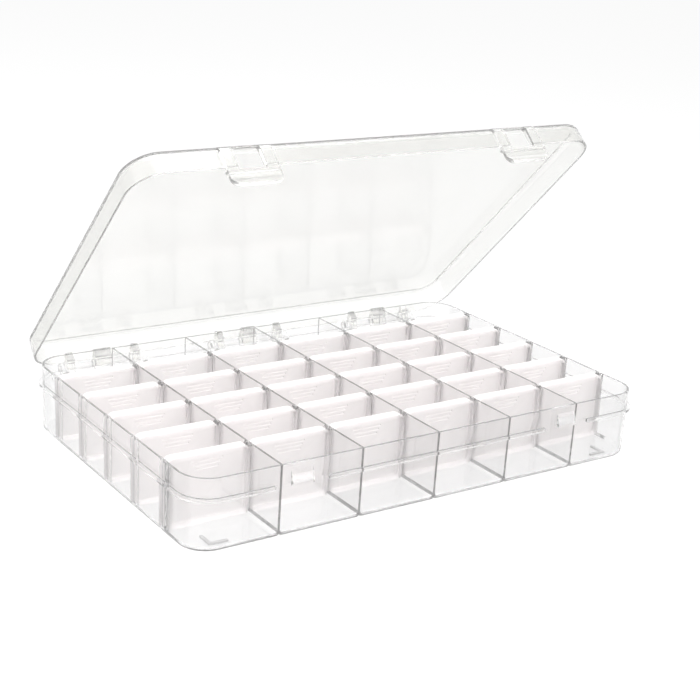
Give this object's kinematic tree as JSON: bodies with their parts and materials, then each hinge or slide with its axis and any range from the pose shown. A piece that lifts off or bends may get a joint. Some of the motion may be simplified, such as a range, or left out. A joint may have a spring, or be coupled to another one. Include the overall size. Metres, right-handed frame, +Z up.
{
  "type": "sewing box",
  "caption": "Clear hinged-lid thread storage box with fixed partitions, lift-out dividers in ribbed slots and snap latches.",
  "frame": {"origin": "on the table, under the middle of the whole box as it stands open", "axes": "+X along the width of the box to its right, +Y from the latches to the hinges, +Z up"},
  "size_m": [0.2728, 0.1911, 0.1697],
  "materials": {
    "clear_plastic": "gloss",
    "divider_plastic": "satin"
  },
  "bodies": {
    "tray": {"tray": "clear_plastic"},
    "lid": {"lid": "clear_plastic"},
    "divider_1_1": {"divider_1_1": "divider_plastic"},
    "divider_1_2": {"divider_1_2": "divider_plastic"},
    "divider_1_3": {"divider_1_3": "divider_plastic"},
    "divider_1_4": {"divider_1_4": "divider_plastic"},
    "divider_1_5": {"divider_1_5": "divider_plastic"},
    "divider_2_1": {"divider_2_1": "divider_plastic"},
    "divider_2_2": {"divider_2_2": "divider_plastic"},
    "divider_2_3": {"divider_2_3": "divider_plastic"},
    "divider_2_4": {"divider_2_4": "divider_plastic"},
    "divider_2_5": {"divider_2_5": "divider_plastic"},
    "divider_3_1": {"divider_3_1": "divider_plastic"},
    "divider_3_2": {"divider_3_2": "divider_plastic"},
    "divider_3_3": {"divider_3_3": "divider_plastic"},
    "divider_3_4": {"divider_3_4": "divider_plastic"},
    "divider_3_5": {"divider_3_5": "divider_plastic"},
    "divider_4_1": {"divider_4_1": "divider_plastic"},
    "divider_4_2": {"divider_4_2": "divider_plastic"},
    "divider_4_3": {"divider_4_3": "divider_plastic"},
    "divider_4_4": {"divider_4_4": "divider_plastic"},
    "divider_4_5": {"divider_4_5": "divider_plastic"},
    "divider_5_1": {"divider_5_1": "divider_plastic"},
    "divider_5_2": {"divider_5_2": "divider_plastic"},
    "divider_5_3": {"divider_5_3": "divider_plastic"},
    "divider_5_4": {"divider_5_4": "divider_plastic"},
    "divider_5_5": {"divider_5_5": "divider_plastic"},
    "divider_6_1": {"divider_6_1": "divider_plastic"},
    "divider_6_2": {"divider_6_2": "divider_plastic"},
    "divider_6_3": {"divider_6_3": "divider_plastic"},
    "divider_6_4": {"divider_6_4": "divider_plastic"},
    "divider_6_5": {"divider_6_5": "divider_plastic"}
  },
  "joints": [
    {"name": "lid_hinge", "type": "hinge", "parent": "tray", "child": "lid", "pos_m": [0, 0.0909, 0.02765], "axis": [-1, 0, 0], "range_deg": [-46, 134]},
    {"name": "lift_1_1", "type": "slide", "parent": "tray", "child": "divider_1_1", "axis": [0, 0, 1], "range_m": [0, 0.036]},
    {"name": "lift_1_2", "type": "slide", "parent": "tray", "child": "divider_1_2", "axis": [0, 0, 1], "range_m": [0, 0.036]},
    {"name": "lift_1_3", "type": "slide", "parent": "tray", "child": "divider_1_3", "axis": [0, 0, 1], "range_m": [0, 0.036]},
    {"name": "lift_1_4", "type": "slide", "parent": "tray", "child": "divider_1_4", "axis": [0, 0, 1], "range_m": [0, 0.036]},
    {"name": "lift_1_5", "type": "slide", "parent": "tray", "child": "divider_1_5", "axis": [0, 0, 1], "range_m": [0, 0.036]},
    {"name": "lift_2_1", "type": "slide", "parent": "tray", "child": "divider_2_1", "axis": [0, 0, 1], "range_m": [0, 0.036]},
    {"name": "lift_2_2", "type": "slide", "parent": "tray", "child": "divider_2_2", "axis": [0, 0, 1], "range_m": [0, 0.036]},
    {"name": "lift_2_3", "type": "slide", "parent": "tray", "child": "divider_2_3", "axis": [0, 0, 1], "range_m": [0, 0.036]},
    {"name": "lift_2_4", "type": "slide", "parent": "tray", "child": "divider_2_4", "axis": [0, 0, 1], "range_m": [0, 0.036]},
    {"name": "lift_2_5", "type": "slide", "parent": "tray", "child": "divider_2_5", "axis": [0, 0, 1], "range_m": [0, 0.036]},
    {"name": "lift_3_1", "type": "slide", "parent": "tray", "child": "divider_3_1", "axis": [0, 0, 1], "range_m": [0, 0.036]},
    {"name": "lift_3_2", "type": "slide", "parent": "tray", "child": "divider_3_2", "axis": [0, 0, 1], "range_m": [0, 0.036]},
    {"name": "lift_3_3", "type": "slide", "parent": "tray", "child": "divider_3_3", "axis": [0, 0, 1], "range_m": [0, 0.036]},
    {"name": "lift_3_4", "type": "slide", "parent": "tray", "child": "divider_3_4", "axis": [0, 0, 1], "range_m": [0, 0.036]},
    {"name": "lift_3_5", "type": "slide", "parent": "tray", "child": "divider_3_5", "axis": [0, 0, 1], "range_m": [0, 0.036]},
    {"name": "lift_4_1", "type": "slide", "parent": "tray", "child": "divider_4_1", "axis": [0, 0, 1], "range_m": [0, 0.036]},
    {"name": "lift_4_2", "type": "slide", "parent": "tray", "child": "divider_4_2", "axis": [0, 0, 1], "range_m": [0, 0.036]},
    {"name": "lift_4_3", "type": "slide", "parent": "tray", "child": "divider_4_3", "axis": [0, 0, 1], "range_m": [0, 0.036]},
    {"name": "lift_4_4", "type": "slide", "parent": "tray", "child": "divider_4_4", "axis": [0, 0, 1], "range_m": [0, 0.036]},
    {"name": "lift_4_5", "type": "slide", "parent": "tray", "child": "divider_4_5", "axis": [0, 0, 1], "range_m": [0, 0.036]},
    {"name": "lift_5_1", "type": "slide", "parent": "tray", "child": "divider_5_1", "axis": [0, 0, 1], "range_m": [0, 0.036]},
    {"name": "lift_5_2", "type": "slide", "parent": "tray", "child": "divider_5_2", "axis": [0, 0, 1], "range_m": [0, 0.036]},
    {"name": "lift_5_3", "type": "slide", "parent": "tray", "child": "divider_5_3", "axis": [0, 0, 1], "range_m": [0, 0.036]},
    {"name": "lift_5_4", "type": "slide", "parent": "tray", "child": "divider_5_4", "axis": [0, 0, 1], "range_m": [0, 0.036]},
    {"name": "lift_5_5", "type": "slide", "parent": "tray", "child": "divider_5_5", "axis": [0, 0, 1], "range_m": [0, 0.036]},
    {"name": "lift_6_1", "type": "slide", "parent": "tray", "child": "divider_6_1", "axis": [0, 0, 1], "range_m": [0, 0.036]},
    {"name": "lift_6_2", "type": "slide", "parent": "tray", "child": "divider_6_2", "axis": [0, 0, 1], "range_m": [0, 0.036]},
    {"name": "lift_6_3", "type": "slide", "parent": "tray", "child": "divider_6_3", "axis": [0, 0, 1], "range_m": [0, 0.036]},
    {"name": "lift_6_4", "type": "slide", "parent": "tray", "child": "divider_6_4", "axis": [0, 0, 1], "range_m": [0, 0.036]},
    {"name": "lift_6_5", "type": "slide", "parent": "tray", "child": "divider_6_5", "axis": [0, 0, 1], "range_m": [0, 0.036]}
  ]
}
